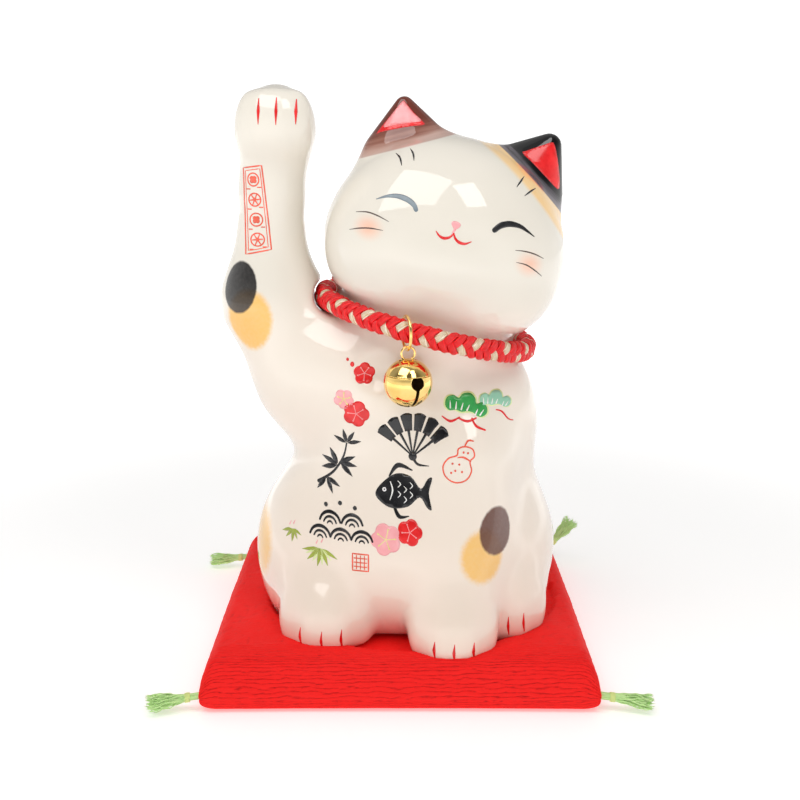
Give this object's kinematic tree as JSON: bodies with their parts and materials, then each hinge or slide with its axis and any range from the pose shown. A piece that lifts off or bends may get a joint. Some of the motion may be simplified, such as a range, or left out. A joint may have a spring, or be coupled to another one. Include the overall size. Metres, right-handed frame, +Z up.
{
  "type": "beckoning cat figurine",
  "caption": "Seated ceramic cat with a raised paw, a braided collar and a jingle bell, on a square cloth cushion with corner tassels.",
  "frame": {"origin": "centre of the cushion's underside, on the surface the figurine stands on", "axes": "+Z up, the cat faces -Y, +X is the cat's own left"},
  "size_m": [0.146, 0.1222, 0.1787],
  "materials": {
    "crepe": "matt red crepe cloth",
    "wadding": "soft cotton wadding",
    "tassel": "loose pale green threads",
    "tie": "twisted yellow-green thread",
    "glaze": "clear gloss glaze over painted cream ware",
    "braid": "satin braid",
    "wrap": "whipped thread",
    "gilt": "polished gold plate",
    "steel": "plain steel ball"
  },
  "bodies": {
    "cushion": {"cushion_top_panel": "crepe", "cushion_bottom_panel": "crepe", "cushion_wadding": "wadding"},
    "tassel_front_left": {"tassel_front_left": "tassel", "tie_front_left": "tie"},
    "tassel_front_right": {"tassel_front_right": "tassel", "tie_front_right": "tie"},
    "tassel_back_left": {"tassel_back_left": "tassel", "tie_back_left": "tie"},
    "tassel_back_right": {"tassel_back_right": "tassel", "tie_back_right": "tie"},
    "cat": {"ceramic_cat": "glaze"},
    "collar": {"collar_braid": "braid", "collar_end_wrap": "wrap"},
    "ring": {"jump_ring": "gilt"},
    "bell": {"bell_loop": "gilt", "bell_upper_shell": "gilt", "bell_lower_shell": "gilt"},
    "pellet": {"bell_pellet": "steel"}
  },
  "joints": [
    {"name": "cat_lift", "type": "slide", "parent": "cushion", "child": "cat", "axis": [0, 0, 1], "range_m": [0, 0.06]},
    {"name": "collar_turn", "type": "hinge", "parent": "cat", "child": "collar", "pos_m": [0.0082, 0, 0.107], "axis": [0.2571, 0, 0.9664], "range_deg": [-12, 12]},
    {"name": "ring_swing", "type": "hinge", "parent": "collar", "child": "ring", "pos_m": [0.00191, -0.03286, 0.10867], "axis": [-0.9681, -0.2504, 0], "range_deg": [0, 50]},
    {"name": "bell_swing", "type": "hinge", "parent": "ring", "child": "bell", "pos_m": [0.00234, -0.0345, 0.10352], "axis": [0.2504, -0.9681, 0], "range_deg": [-18, 18]},
    {"name": "pellet_rattle", "type": "slide", "parent": "bell", "child": "pellet", "axis": [0, 0, 1], "range_m": [0, 0.0075]},
    {"name": "tassel_front_left_lift", "type": "hinge", "parent": "cushion", "child": "tassel_front_left", "pos_m": [-0.05884, -0.05478, 0.00444], "axis": [-0.1045, 0.9945, 0], "range_deg": [0, 65]},
    {"name": "tassel_front_right_lift", "type": "hinge", "parent": "cushion", "child": "tassel_front_right", "pos_m": [0.05885, -0.05462, 0.00444], "axis": [-0.0698, -0.9976, 0], "range_deg": [0, 65]},
    {"name": "tassel_back_left_lift", "type": "hinge", "parent": "cushion", "child": "tassel_back_left", "pos_m": [-0.05885, 0.05462, 0.00444], "axis": [0.0698, 0.9976, 0], "range_deg": [0, 65]},
    {"name": "tassel_back_right_lift", "type": "hinge", "parent": "cushion", "child": "tassel_back_right", "pos_m": [0.05744, 0.05611, 0.00783], "axis": [0.5, -0.866, 0], "range_deg": [-38, 25]}
  ]
}
